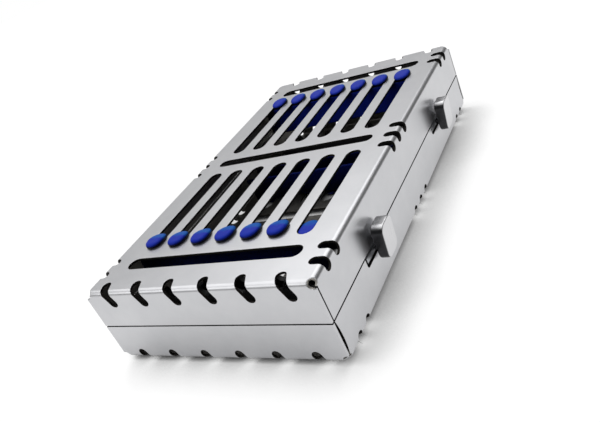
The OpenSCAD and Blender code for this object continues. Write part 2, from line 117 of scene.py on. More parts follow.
def seen_directly(tree):
    """1 for a ray that shows the surroundings: straight, mirrored or through glass."""
    path = put(tree, "ShaderNodeLightPath")
    either = put(tree, "ShaderNodeMath", operation="MAXIMUM",
                 feeds={0: path.outputs["Is Camera Ray"], 1: path.outputs["Is Glossy Ray"]})
    return put(tree, "ShaderNodeMath", operation="MAXIMUM",
               feeds={0: either.outputs[0], 1: path.outputs["Is Transmission Ray"]}).outputs[0]


white = linear("#FFFFFF")
ambient_level = 0.16       # the light that the surroundings throw on the case
pale_way = (-0.42, -0.05, 0.9)      # where the steel mirrors them, they are palest this way
dim_at, pale_at = 0.02, 0.66        # how far round toward it they start to pale, and are palest
dim_level, pale_level = 0.19, 0.45

surroundings = bpy.data.worlds.new("white_surroundings")
scene.world = surroundings
tree = blank(surroundings)
ambient = put(tree, "ShaderNodeBackground", {"Color": white, "Strength": ambient_level})
backdrop = put(tree, "ShaderNodeBackground", {"Color": white, "Strength": 1.0})
direction = put(tree, "ShaderNodeTexCoord").outputs["Generated"]
height = put(tree, "ShaderNodeVectorMath", {1: pale_way}, {0: direction},
             operation="DOT_PRODUCT")
rise = put(tree, "ShaderNodeMapRange",
           {"From Min": dim_at, "From Max": pale_at, "To Min": dim_level, "To Max": pale_level},
           {"Value": height.outputs["Value"]}, interpolation_type="SMOOTHSTEP")
mirrored = put(tree, "ShaderNodeBackground", {"Color": white}, {"Strength": rise.outputs[0]})
path = put(tree, "ShaderNodeLightPath")
shown_sky = put(tree, "ShaderNodeMixShader",
                feeds={0: path.outputs["Is Glossy Ray"], 1: backdrop.outputs[0],
                       2: mirrored.outputs[0]})
both_skies = put(tree, "ShaderNodeMixShader",
                 feeds={0: seen_directly(tree), 1: ambient.outputs[0], 2: shown_sky.outputs[0]})
put(tree, "ShaderNodeOutputWorld", feeds={"Surface": both_skies.outputs[0]})

table_half_m = 4.0
glow_level = 0.86          # makes the table white, together with the lamps
sky_samples = 8
close_reach_m = 0.022      # how far the case's shadow spreads over the table
wide_reach_m = 0.04        # how far the darkness under the case spreads, as the steel mirrors it
lamp_side = (-0.6, 0.2, 0.75)       # the shadow falls away from this side
latch_side = (0.5, 0.1, 0.86)       # the darkness spreads least on this side
first_number, second_number = 2, 3  # the sockets of a Mix node for numbers

# White laminate, smooth and matt: to the eye a plain white with the case's soft shadow on it. It
# glows where the sky above it is open, so that it is white without more light on the case, and
# the glow fades where the case hides the sky, which paints the case's shadow and the dark under
# it.
white_laminate = bpy.data.materials.new("white_laminate")
tree = blank(white_laminate)
lit = put(tree, "ShaderNodeBsdfDiffuse", {"Color": linear("#8C8C8C")})
away = put(tree, "ShaderNodeCombineXYZ", dict(zip("XYZ", latch_side)))
wide_sky = put(tree, "ShaderNodeAmbientOcclusion", {"Distance": wide_reach_m},
               {"Normal": away.outputs[0]}, samples=sky_samples)
towards_lamps = put(tree, "ShaderNodeCombineXYZ", dict(zip("XYZ", lamp_side)))
close_sky = put(tree, "ShaderNodeAmbientOcclusion", {"Distance": close_reach_m},
                {"Normal": towards_lamps.outputs[0]}, samples=sky_samples)
path = put(tree, "ShaderNodeLightPath")
not_under = put(tree, "ShaderNodeMapRange", {"From Min": 0.25, "From Max": 0.45},
                {"Value": wide_sky.outputs["AO"]})
beside = put(tree, "ShaderNodeMapRange", {"From Min": 0.0, "From Max": 0.85},
             {"Value": close_sky.outputs["AO"]})
# Painted shadow: the glow fades where the case hides the sky above a spot
shown_open = put(tree, "ShaderNodeMath", operation="MULTIPLY",
                 feeds={0: beside.outputs[0], 1: not_under.outputs[0]})
mirrored_open = put(tree, "ShaderNodeMapRange", {"From Min": 0.25, "From Max": 0.9},
                    {"Value": wide_sky.outputs["AO"]})
in_the_open = put(tree, "ShaderNodeMix",
                  feeds={0: path.outputs["Is Camera Ray"],
                         first_number: mirrored_open.outputs[0],
                         second_number: shown_open.outputs[0]})
share = put(tree, "ShaderNodeMath", {1: glow_level}, {0: in_the_open.outputs[0]},
            operation="MULTIPLY")
glow = put(tree, "ShaderNodeEmission", {"Color": white}, {"Strength": share.outputs[0]})
shown = put(tree, "ShaderNodeAddShader", feeds={0: lit.outputs[0], 1: glow.outputs[0]})
plain = put(tree, "ShaderNodeBsdfDiffuse", {"Color": linear("#E6E6E6")})
table_look = put(tree, "ShaderNodeMixShader",
                 feeds={0: seen_directly(tree), 1: plain.outputs[0], 2: shown.outputs[0]})
put(tree, "ShaderNodeOutputMaterial", feeds={"Surface": table_look.outputs[0]})

table_mesh = bpy.data.meshes.new("table")
table_mesh.from_pydata([(-table_half_m, -table_half_m, 0), (table_half_m, -table_half_m, 0),
                        (table_half_m, table_half_m, 0), (-table_half_m, table_half_m, 0)],
                       [], [(0, 1, 2, 3)])
table_mesh.materials.append(white_laminate)
table = bpy.data.objects.new("table", table_mesh)
scene.collection.objects.link(table)


def soft_lamp(name, towards, strength, spread_deg):
    """A round soft lamp far off in one direction, as a wide disc of light."""
    lamp = bpy.data.objects.new(name, bpy.data.lights.new(name, "SUN"))
    lamp.data.energy = strength
    lamp.data.angle = math.radians(spread_deg)
    lamp.rotation_mode = "QUATERNION"
    lamp.rotation_quaternion = Vector(towards).to_track_quat("Z", "Y")
    scene.collection.objects.link(lamp)


soft_lamp("lamp_overhead", towards=(-0.2, 0.25, 0.95), strength=1.66, spread_deg=84)
soft_lamp("lamp_behind", towards=(-0.3, 0.72, 0.62), strength=0.13, spread_deg=40)
soft_lamp("lamp_near_hinge", towards=(-0.62, -0.55, 0.52), strength=0.3, spread_deg=30)


# The base tray and the lid: two shells of 1 mm stainless steel sheet, punched with slots, bent
# up on all four sides and electropolished. Both are the frame's solids with their edges eased.
weld_mm = 0.03             # corners of a frame solid closer than this become one
flat_deg = 0.5             # faces that meet at less than this are one flat face
sharp_deg = 30             # edges sharper than this are eased


def ease_edges(piece, edge_mm, steps):
    """Rounds a piece's sharp edges over a small width and keeps its flat faces flat."""
    ease = piece.modifiers.new("eased_edges", "BEVEL")
    ease.limit_method = "ANGLE"
    ease.angle_limit = math.radians(sharp_deg)
    ease.width = edge_mm / 1000
    ease.segments = steps
    ease.use_clamp_overlap = False
    level = piece.modifiers.new("flat_faces_flat", "WEIGHTED_NORMAL")
    level.mode = "FACE_AREA"


def stand_in(piece, node):
    """Lets a piece stand for a frame solid: puts it on the solid's body and hides the solid."""
    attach(piece, frame["nodes"][node]["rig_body"])
    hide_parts(node)


def finished(node, made, edge_mm, steps, finishes):
    """A copy of a frame solid with its sharp edges eased and its finishes, in its place."""
    work = bmesh.new()
    work.from_mesh(frame["nodes"][node].data)
    bmesh.ops.remove_doubles(work, verts=work.verts, dist=weld_mm / 1000)
    bmesh.ops.dissolve_limit(work, angle_limit=math.radians(flat_deg), verts=work.verts,
                             edges=work.edges)
    mesh = bpy.data.meshes.new(node + made)
    work.to_mesh(mesh)
    work.free()
    mesh.materials.clear()
    for finish in finishes:
        mesh.materials.append(finish)
    mesh.shade_smooth()
    piece = bpy.data.objects.new(node + made, mesh)
    scene.collection.objects.link(piece)
    ease_edges(piece, edge_mm, steps)
    stand_in(piece, node)
    return piece


first_colour, second_colour, mixed_colour = 6, 7, 2     # the sockets of a Mix node for colours
texture_deep_mm = 0.05     # how deep a fine grain is drawn

# Electropolished sheet: a bright, slightly cloudy satin that blurs what it mirrors. The real
# grain is finer than a tenth of a millimetre, and is drawn coarser so that it shows.
satin_cloud_mm = 12
satin_grain_mm = 0.5
satin_stainless = bpy.data.materials.new("electropolished_stainless_sheet")
tree = blank(satin_stainless)
place = put(tree, "ShaderNodeTexCoord").outputs["Object"]
cloud = put(tree, "ShaderNodeTexNoise",
            {"Scale": 1000 / satin_cloud_mm, "Detail": 4.0, "Roughness": 0.6},
            {"Vector": place})
grain = put(tree, "ShaderNodeTexNoise", {"Scale": 1000 / satin_grain_mm, "Detail": 2.0},
            {"Vector": place})
tone = put(tree, "ShaderNodeMix",
           {first_colour: linear("#BFC0C3"), second_colour: linear("#D0D0D2")},
           {0: cloud.outputs["Fac"]}, data_type="RGBA")
gloss = put(tree, "ShaderNodeMapRange", {"To Min": 0.26, "To Max": 0.36},
            {"Value": grain.outputs["Fac"]})
texture = put(tree, "ShaderNodeBump", {"Strength": 0.12, "Distance": texture_deep_mm / 1000},
              {"Height": grain.outputs["Fac"]})
steel = put(tree, "ShaderNodeBsdfPrincipled", {"Metallic": 1.0},
            {"Base Color": tone.outputs[mixed_colour], "Roughness": gloss.outputs[0],
             "Normal": texture.outputs[0]})
put(tree, "ShaderNodeOutputMaterial", feeds={"Surface": steel.outputs[0]})

# The same sheet inside the case: a duller satin, with painted shade that makes it a dark
# brownish grey, darkest on the floor.
dull_cloud_mm = 9
floor_shade_full_mm, floor_shade_gone_mm = 3, 8     # the heights over which the painted shade on the floor fades out
floor_shaded_share = 0.4          # how much of the walls' tone the floor keeps under its painted shade
shaded_inside_stainless = bpy.data.materials.new("inside_stainless_painted_shade")
tree = blank(shaded_inside_stainless)
place = put(tree, "ShaderNodeTexCoord").outputs["Object"]
cloud = put(tree, "ShaderNodeTexNoise",
            {"Scale": 1000 / dull_cloud_mm, "Detail": 4.0, "Roughness": 0.6},
            {"Vector": place})
# The dark brownish grey itself is painted shade of the closed case's inside
tone = put(tree, "ShaderNodeMix",
           {first_colour: linear("#9A9792"), second_colour: linear("#AAA7A2")},
           {0: cloud.outputs["Fac"]}, data_type="RGBA")
height = put(tree, "ShaderNodeSeparateXYZ", feeds={0: place}).outputs["Z"]
# Painted shade: the tone darkens toward the floor
floor_shade_fade = put(tree, "ShaderNodeMapRange",
                  {"From Min": floor_shade_full_mm / 1000, "From Max": floor_shade_gone_mm / 1000,
                   "To Min": floor_shaded_share, "To Max": 1.0}, {"Value": height})
tone = put(tree, "ShaderNodeMix", {first_colour: linear("#000000")},
           {0: floor_shade_fade.outputs[0], second_colour: tone.outputs[mixed_colour]},
           data_type="RGBA")
steel = put(tree, "ShaderNodeBsdfPrincipled", {"Metallic": 0.85, "Roughness": 0.45},
            {"Base Color": tone.outputs[mixed_colour]})
put(tree, "ShaderNodeOutputMaterial", feeds={"Surface": steel.outputs[0]})

# The cut edges of the sheet, at the rims and round the slots: sheared, raw and rough, with a
# near-black painted shade of the joint and the slots, so they outline every slot. The shear's
# lines are drawn coarser than they are.
shear_line_mm = 0.4
sheared_edge_shade = bpy.data.materials.new("sheared_edge_painted_shade")
tree = blank(sheared_edge_shade)
place = put(tree, "ShaderNodeTexCoord").outputs["Object"]
lines = put(tree, "ShaderNodeTexNoise", {"Scale": 1000 / shear_line_mm, "Detail": 3.0},
            {"Vector": place})
# Painted shade: the near-black tone stands for the shade in the joint and in the slots
tone = put(tree, "ShaderNodeMix",
           {first_colour: linear("#1E1C1A"), second_colour: linear("#34312E")},
           {0: lines.outputs["Fac"]}, data_type="RGBA")
steel = put(tree, "ShaderNodeBsdfPrincipled", {"Metallic": 0.8, "Roughness": 0.6},
            {"Base Color": tone.outputs[mixed_colour]})
put(tree, "ShaderNodeOutputMaterial", feeds={"Surface": steel.outputs[0]})

sheet_mm = 1.0
bend_r_mm = 2.0            # outside radius of the bends
shell_edge_mm = 0.12
strip_edge_mm = 0.1        # the edges of the hinge leaves and of the latch strips
sheet_edge_steps = 2
rim_dressed_mm = 0.1       # how far each rim is filed back, which opens the joint line
touching_mm = 0.03         # a point nearer than this to a plane lies on it
skin_mm = 0.2             # a face no deeper than this is the sheet's outer face
relief_mm = 4.0            # the round reliefs lie this near to the corners, and are polished
inside, cut = 1, 2         # the places of these two finishes in a shell's list

for node, under in (("base_tray", 1), ("lid_cover", -1)):
    shell = finished(node, "_sheet", shell_edge_mm, sheet_edge_steps,
                     (satin_stainless, shaded_inside_stainless, sheared_edge_shade))
    low, high = (Vector(corner) * 1000 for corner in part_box(node))
    plate_mm, rim_mm = (low.z, high.z) if under > 0 else (high.z, low.z)
    for vert in shell.data.vertices:
        if abs(vert.co.z * 1000 - rim_mm) < touching_mm:
            vert.co.z -= under * rim_dressed_mm / 1000
    for face in shell.data.polygons:
        middle = Vector(face.center) * 1000
        height_mm = (middle.z - plate_mm) * under
        # How deep the face lies in the sheet, whose outer face is a box with rounded edges
        out = Vector((abs(middle.x) - high.x, abs(middle.y) - high.y, -height_mm))
        depth_mm = bend_r_mm - Vector([max(c + bend_r_mm, 0) for c in out]).length
        rim = (rim_mm - plate_mm) * under - height_mm < rim_dressed_mm + touching_mm
        relief = height_mm < relief_mm and min(out.x, out.y) > -relief_mm
        if rim or (skin_mm < depth_mm < sheet_mm - touching_mm and not relief):
            face.material_index = cut
        elif depth_mm > skin_mm:
            face.material_index = inside


# The hinges: rolled stainless leaves spot-welded in the walls, and drawn steel pins with
# rounded heads that hold their knuckles together.
pin_edge_mm = 0.25
pin_edge_steps = 3
draw_line_mm = 0.3
draw_stretch = (1, 0.05, 1)         # the lines run along the pins

# Drawn stainless wire: a fairly bright grey with fine lines along its length, which give a
# streaked gleam. The lines are drawn coarser than they are, so that they show.
drawn_wire = bpy.data.materials.new("drawn_stainless_wire")
tree = blank(drawn_wire)
place = put(tree, "ShaderNodeTexCoord").outputs["Object"]
along = put(tree, "ShaderNodeMapping", {"Scale": draw_stretch}, {"Vector": place})
lines = put(tree, "ShaderNodeTexNoise", {"Scale": 1000 / draw_line_mm, "Detail": 3.0},
            {"Vector": along.outputs[0]})
tone = put(tree, "ShaderNodeMix",
           {first_colour: linear("#B4B4B8"), second_colour: linear("#CACACE")},
           {0: lines.outputs["Fac"]}, data_type="RGBA")
texture = put(tree, "ShaderNodeBump", {"Strength": 0.2, "Distance": texture_deep_mm / 1000},
              {"Height": lines.outputs["Fac"]})
steel = put(tree, "ShaderNodeBsdfPrincipled", {"Metallic": 1.0, "Roughness": 0.28},
            {"Base Color": tone.outputs[mixed_colour], "Normal": texture.outputs[0]})
put(tree, "ShaderNodeOutputMaterial", feeds={"Surface": steel.outputs[0]})

for end in ("near_", "far_"):
    for leaf in ("hinge_base_leaf", "hinge_lid_leaf"):
        finished(end + leaf, "_rolled", strip_edge_mm, sheet_edge_steps, (satin_stainless,))
    finished(end + "hinge_pin", "_drawn", pin_edge_mm, pin_edge_steps, (drawn_wire,))


# The latches: a stainless finger button on each of two flat spring arms that hang in the lid,
# and the keeper strip in the base that the arm's tooth catches.
button_edge_mm = 0.5
button_edge_steps = 4
brush_line_mm = 0.45
brush_stretch = (1, 1, 0.06)        # the buttons are brushed up and down
side_shade_from, side_shade_to = 0.35, 0.8      # how squarely a side face looks along the case for its painted shade to start, and be full
roll_line_mm = 0.4
roll_stretch = (1, 0.08, 1)         # the strip is rolled along the case

# Brushed stainless: a smooth pale grey on the front, with soft upright lines that stretch the
# gleam, and its two side faces painted dark grey, a painted reflection of the shade beside the
# button. The lines are drawn coarser than they are.
brushed_steel = bpy.data.materials.new("brushed_stainless_button")
tree = blank(brushed_steel)
place = put(tree, "ShaderNodeTexCoord").outputs["Object"]
along = put(tree, "ShaderNodeMapping", {"Scale": brush_stretch}, {"Vector": place})
lines = put(tree, "ShaderNodeTexNoise", {"Scale": 1000 / brush_line_mm, "Detail": 3.0},
            {"Vector": along.outputs[0]})
tone = put(tree, "ShaderNodeMix",
           {first_colour: linear("#CACACC"), second_colour: linear("#D8D8DA")},
           {0: lines.outputs["Fac"]}, data_type="RGBA")
# Painted reflection: the faces that look along the case go dark grey, as if mirroring the shade
# beside them
facing = put(tree, "ShaderNodeSeparateXYZ",
             feeds={0: put(tree, "ShaderNodeTexCoord").outputs["Normal"]})
sideways = put(tree, "ShaderNodeMath", feeds={0: facing.outputs["Y"]}, operation="ABSOLUTE")
painted_side_shade = put(tree, "ShaderNodeMapRange", {"From Min": side_shade_from, "From Max": side_shade_to},
           {"Value": sideways.outputs[0]})
tone = put(tree, "ShaderNodeMix", {second_colour: linear("#434345")},
           {0: painted_side_shade.outputs[0], first_colour: tone.outputs[mixed_colour]}, data_type="RGBA")
gloss = put(tree, "ShaderNodeMapRange", {"To Min": 0.24, "To Max": 0.34},
            {"Value": lines.outputs["Fac"]})
texture = put(tree, "ShaderNodeBump", {"Strength": 0.04, "Distance": texture_deep_mm / 1000},
              {"Height": lines.outputs["Fac"]})
steel = put(tree, "ShaderNodeBsdfPrincipled", {"Metallic": 1.0},
            {"Base Color": tone.outputs[mixed_colour], "Roughness": gloss.outputs[0],
             "Normal": texture.outputs[0]})
put(tree, "ShaderNodeOutputMaterial", feeds={"Surface": steel.outputs[0]})

# Rolled spring strip: a darker, bluish grey satin with faint lines from the rolls, which are
# drawn coarser than they are.
spring_strip = bpy.data.materials.new("rolled_spring_strip")
tree = blank(spring_strip)
place = put(tree, "ShaderNodeTexCoord").outputs["Object"]
along = put(tree, "ShaderNodeMapping", {"Scale": roll_stretch}, {"Vector": place})
lines = put(tree, "ShaderNodeTexNoise", {"Scale": 1000 / roll_line_mm, "Detail": 3.0},
            {"Vector": along.outputs[0]})
tone = put(tree, "ShaderNodeMix",
           {first_colour: linear("#9B9DA1"), second_colour: linear("#AEB0B4")},
           {0: lines.outputs["Fac"]}, data_type="RGBA")
texture = put(tree, "ShaderNodeBump", {"Strength": 0.15, "Distance": texture_deep_mm / 1000},
              {"Height": lines.outputs["Fac"]})
steel = put(tree, "ShaderNodeBsdfPrincipled", {"Metallic": 1.0, "Roughness": 0.33},
            {"Base Color": tone.outputs[mixed_colour], "Normal": texture.outputs[0]})
put(tree, "ShaderNodeOutputMaterial", feeds={"Surface": steel.outputs[0]})

for end in ("near_", "far_"):
    finished(end + "latch_button", "_brushed", button_edge_mm, button_edge_steps,
             (brushed_steel,))
    for strip in ("latch_spring", "latch_mount"):
        finished(end + strip, "_strip", strip_edge_mm, sheet_edge_steps, (spring_strip,))
    finished(end + "latch_keeper", "_strip", strip_edge_mm, sheet_edge_steps,
             (satin_stainless,))


# The hold-downs and the middle support: blue silicone channels, moulded in one piece with a row
# of studs whose heads are pulled through the slots and grip the sheet from outside.
silicone_ior = 1.41
blue_cloud_mm = 3.0
blue_skin_mm = 0.25
blue_texture_deep_mm = 0.04
sky_sheen_from, sky_sheen_to = 0.03, 0.16   # how far a face leans to the far end for its painted sky reflection to start, and be full
shade_reach_m = 0.03        # painted shade turns the blue nearly black where walls stand within this

# Moulded silicone: a deep blue with a satin skin, a little cloudy where the mould is worn, with
# a painted reflection of the sky that makes the heads' slopes paler, and painted shade that
# makes it nearly black deep in the case. The skin is drawn coarser than it is.
blue_silicone = bpy.data.materials.new("moulded_blue_silicone")
tree = blank(blue_silicone)
place = put(tree, "ShaderNodeTexCoord").outputs["Object"]
cloud = put(tree, "ShaderNodeTexNoise", {"Scale": 1000 / blue_cloud_mm, "Detail": 3.0},
            {"Vector": place})
skin = put(tree, "ShaderNodeTexNoise", {"Scale": 1000 / blue_skin_mm, "Detail": 2.0},
           {"Vector": place})
tone = put(tree, "ShaderNodeMix",
           {first_colour: linear("#142AB0"), second_colour: linear("#1C3AC2")},
           {0: cloud.outputs["Fac"]}, data_type="RGBA")
facing = put(tree, "ShaderNodeSeparateXYZ",
             feeds={0: put(tree, "ShaderNodeTexCoord").outputs["Normal"]})
# Painted reflection: faces that lean to the far end turn a paler cyan, as if they mirrored the
# sky
slope = put(tree, "ShaderNodeMapRange",
            {"From Min": sky_sheen_from, "From Max": sky_sheen_to, "To Max": 0.8},
            {"Value": facing.outputs["Y"]})
tone = put(tree, "ShaderNodeMix", {second_colour: linear("#1068C0")},
           {0: slope.outputs[0], first_colour: tone.outputs[mixed_colour]}, data_type="RGBA")
# Painted shade: the blue goes nearly black where walls close in round it
open_sky = put(tree, "ShaderNodeAmbientOcclusion", {"Distance": shade_reach_m},
               samples=sky_samples)
painted_shade_mask = put(tree, "ShaderNodeMapRange",
                   {"From Min": 0.5, "From Max": 0.85, "To Min": 0.03, "To Max": 1.0},
                   {"Value": open_sky.outputs["AO"]})
tone = put(tree, "ShaderNodeMix", {first_colour: linear("#000004")},
           {0: painted_shade_mask.outputs[0], second_colour: tone.outputs[mixed_colour]},
           data_type="RGBA")
gloss = put(tree, "ShaderNodeMapRange", {"To Min": 0.36, "To Max": 0.5},
            {"Value": skin.outputs["Fac"]})
texture = put(tree, "ShaderNodeBump",
              {"Strength": 0.15, "Distance": blue_texture_deep_mm / 1000},
              {"Height": skin.outputs["Fac"]})
rubber = put(tree, "ShaderNodeBsdfPrincipled",
             {"IOR": silicone_ior, "Specular IOR Level": 0.12},
             {"Base Color": tone.outputs[mixed_colour], "Roughness": gloss.outputs[0],
              "Normal": texture.outputs[0]})
put(tree, "ShaderNodeOutputMaterial", feeds={"Surface": rubber.outputs[0]})

slot_pitch_mm = 11.6
stud_count = 7
first_stud_mm = -(stud_count - 1) / 2 * slot_pitch_mm
neck_l_mm = 7.0
neck_w_mm = 6.0
neck_root_mm = 0.4         # how far a neck reaches into the bar under the sheet
head_half_w_mm = 3.85
head_half_l_mm = 4.6
head_inward_mm = 0.7       # the head's middle lies nearer the middle of the case than the neck's
head_high_mm = 1.88
head_clear_mm = 0.02       # the head's underside clears the sheet by this
head_blunt = 0.88          # 1 is an ellipse, and less is fuller
head_slope = 0.42          # the share of its height that a head loses at its inward end
slope_start_mm = 0.4       # the slope starts this far inward of the middle
round_steps = 28
# Rings of the head from its underside up: share of its outline, share of its height
head_rings = ((0.90, 0.0), (1.0, 0.14), (1.0, 0.50), (0.95, 0.76), (0.84, 0.92), (0.66, 0.985),
              (0.3, 1.0))


def oval(half_w, half_l, middle_y):
    """Points round an oval along Y, a little fuller than an ellipse."""
    points = []
    for k in range(round_steps):
        turn = 2 * math.pi * k / round_steps
        c, s = math.cos(turn), math.sin(turn)
        points.append((math.copysign(abs(c) ** head_blunt, c) * half_w,
                       middle_y + math.copysign(abs(s) ** head_blunt, s) * half_l))
    return points


def slot_round(width, length, middle_y):
    """The same number of points round a slot's outline along Y."""
    straight = (length - width) / 2
    points = []
    for k in range(round_steps):
        turn = 2 * math.pi * k / round_steps
        c, s = math.cos(turn), math.sin(turn)
        points.append((c * width / 2, middle_y + s * width / 2 + math.copysign(straight, s)))
    return points


def stacked(name, rings):
    """A closed mesh over rings of points, each a list of places in millimetres."""
    work = bmesh.new()
    rows = [[work.verts.new([c / 1000 for c in point]) for point in ring] for ring in rings]
    for row, upper in zip(rows, rows[1:]):
        for k in range(len(row)):
            n = (k + 1) % len(row)
            work.faces.new((row[k], row[n], upper[n], upper[k]))
    work.faces.new(rows[0][::-1])
    work.faces.new(rows[-1])
    bmesh.ops.recalc_face_normals(work, faces=work.faces)
    mesh = bpy.data.meshes.new(name)
    work.to_mesh(mesh)
    work.free()
    mesh.shade_smooth()
    return mesh


def neck_rings(outline, way_up, face_z):
    """The foot of a stud's neck, from inside the bar to the sheet's inner face."""
    return [[(x, y, face_z + way_up * depth) for x, y in outline]
            for depth in (-sheet_mm - neck_root_mm, -sheet_mm)]


def stud_mesh(name, way_up, face_z, towards_middle):
    """One stud on a plate whose outer face is at face_z: the neck in the slot, and the head
    outside, which slopes down toward the middle of the case."""
    outline = slot_round(neck_w_mm, neck_l_mm, 0.0)
    rings = neck_rings(outline, way_up, face_z)
    rings.append([(x, y, face_z) for x, y in outline])
    middle = towards_middle * head_inward_mm
    for share, rise in head_rings:
        ring = []
        for x, y in oval(head_half_w_mm * share, head_half_l_mm * share, middle):
            inward = max((y - middle) * towards_middle - slope_start_mm, 0) / head_half_l_mm
            top = head_high_mm * rise * (1 - head_slope * inward)
            top += head_clear_mm if rise == 0 else 0
            ring.append((x, y, face_z + way_up * top))
        rings.append(ring)
    return stacked(name, rings)


def row_tree(name, part, carrier, merge_mm=0.0):
    """A tree that sets a part out in a row along X and joins it with the piece that carries
    the row. If a distance is given, corners closer than it become one."""
    row = bpy.data.node_groups.new(name, "GeometryNodeTree")
    for label, kind, way in (("Geometry", "NodeSocketGeometry", "OUTPUT"),
                             (part, "NodeSocketGeometry", "INPUT"),
                             (carrier, "NodeSocketObject", "INPUT"),
                             ("Count", "NodeSocketInt", "INPUT"),
                             ("Pitch", "NodeSocketFloat", "INPUT"),
                             ("First", "NodeSocketFloat", "INPUT"),
                             ("Finish", "NodeSocketMaterial", "INPUT")):
        row.interface.new_socket(label, in_out=way, socket_type=kind)
    given = put(row, "NodeGroupInput").outputs
    step = put(row, "ShaderNodeCombineXYZ", feeds={"X": given["Pitch"]})
    start = put(row, "ShaderNodeCombineXYZ", feeds={"X": given["First"]})
    places = put(row, "GeometryNodeMeshLine",
                 feeds={"Count": given["Count"], "Start Location": start.outputs[0],
                        "Offset": step.outputs[0]}, mode="OFFSET")
    parts = put(row, "GeometryNodeInstanceOnPoints",
                feeds={"Points": places.outputs[0], "Instance": given[part]})
    carried_by = put(row, "GeometryNodeObjectInfo", feeds={"Object": given[carrier]})
    together = put(row, "GeometryNodeJoinGeometry")
    row.links.new(parts.outputs[0], together.inputs[0])
    row.links.new(carried_by.outputs["Geometry"], together.inputs[0])
    real = put(row, "GeometryNodeRealizeInstances", feeds={"Geometry": together.outputs[0]})
    if merge_mm:
        real = put(row, "GeometryNodeMergeByDistance", {"Distance": merge_mm / 1000},
                   {"Geometry": real.outputs[0]})
    coated = put(row, "GeometryNodeSetMaterial",
                 feeds={"Geometry": real.outputs[0], "Material": given["Finish"]})
    put(row, "NodeGroupOutput", feeds={0: coated.outputs[0]})
    return row


def grown(mesh, name, tree, settings):
    """A plain mesh of what a tree makes from a mesh, with the tree's inputs set by name."""
    seed = bpy.data.objects.new(name + "_seed", mesh)
    scene.collection.objects.link(seed)
    grow = seed.modifiers.new("grow", "NODES")
    grow.node_group = tree
    for item in tree.interface.items_tree:
        if item.in_out == "INPUT" and item.name in settings:
            grow[item.identifier] = settings[item.name]
    bpy.context.view_layer.update()
    graph = bpy.context.evaluated_depsgraph_get()
    result = bpy.data.meshes.new_from_object(seed.evaluated_get(graph))
    result.name = name
    bpy.data.objects.remove(seed)
    return result


def placed(mesh, name, x_mm=0.0, y_mm=0.0):
    """A mesh as a scene object, its points moved along the case or across it."""
    for vert in mesh.vertices:
        vert.co.x += x_mm / 1000
        vert.co.y += y_mm / 1000
    piece = bpy.data.objects.new(name, mesh)
    scene.collection.objects.link(piece)
    return piece


stud_row = row_tree("row_of_studs", "Stud", "Rail")


def studded(node, bar, y_mm, way_up, face_z, towards_middle, count, finish):
    """A whole moulding in place of a frame solid: a bar, and its row of studs on a plate."""
    stud = stud_mesh(node + "_stud", way_up, face_z, towards_middle)
    mesh = grown(stud, node + "_moulding", stud_row,
                 {"Rail": bar, "Count": count, "Pitch": slot_pitch_mm / 1000,
                  "First": first_stud_mm / 1000, "Finish": finish})
    bpy.data.objects.remove(bar)
    stand_in(placed(mesh, node + "_moulding", y_mm=y_mm), node)


rail_half_mm = 43.0
channel_high_mm = 13.0
channel_edge_mm = 0.3
moulded_edge_steps = 2
bar_half_mm = 4.5
bar_high_mm = 3.0
wall_mm = 1.3
trough_mm = 2.0
lip_mm = 1.0
lip_steps = 6
flare = math.tan(math.radians(9.6))     # how far the channel's walls lean outward


def channel_mesh(name, way_up, face_z):
    """A channel along X that stands on a plate's inner face at face_z and opens away from it."""
    lip_z = channel_high_mm - lip_mm / 2
    lip_half = bar_half_mm + (lip_z - bar_high_mm) * flare
    half = [(bar_half_mm, 0), (bar_half_mm, bar_high_mm), (lip_half, lip_z)]
    for k in range(1, lip_steps):
        turn = math.pi * k / lip_steps
        half.append((lip_half - lip_mm / 2 * (1 - math.cos(turn)),
                     lip_z + lip_mm / 2 * math.sin(turn)))
    half += [(lip_half - lip_mm, lip_z), (bar_half_mm - wall_mm, bar_high_mm),
             (bar_half_mm - 2 * wall_mm, trough_mm)]
    outline = half + [(-y, z) for y, z in reversed(half)]
    return stacked(name, [[(x, y, face_z + way_up * z) for y, z in outline]
                          for x in (-rail_half_mm, rail_half_mm)])


lid_top_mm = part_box("lid_cover")[1][2] * 1000
floor_low_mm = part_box("base_tray")[0][2] * 1000
hold_down_mm = 60.3        # each row's distance from the middle of the case, along it
support_mm = 22.0

for node, y_mm, way, face_z, towards, count in (
        ("near_hold_down", -hold_down_mm, 1, lid_top_mm, 1, stud_count - 1),
        ("far_hold_down", hold_down_mm, 1, lid_top_mm, -1, stud_count),
        ("middle_support", support_mm, -1, floor_low_mm, -1, stud_count)):
    channel = placed(channel_mesh(node + "_bar", -way, face_z - way * sheet_mm), node + "_bar")
    ease_edges(channel, channel_edge_mm, moulded_edge_steps)
    studded(node, channel, y_mm, way, face_z, towards, count, blue_silicone)

# The last stud of the near hold-down isn't pulled through: it is a plain neck, longer than the
# others' and pushed along toward the middle, whose rounded end lies in the slot.
sunk_mm = 0.4              # how far its end lies under the sheet's outer face
sunk_longer_mm = 2.1       # how much longer its neck is
sunk_slope_mm = 0.55       # how much lower its inward end lies
# Rings of its end: share of its outline, share of its height
sunk_rings = ((1.0, 0.72), (0.97, 0.9), (0.88, 1.0), (0.6, 1.0), (0.2, 1.0))

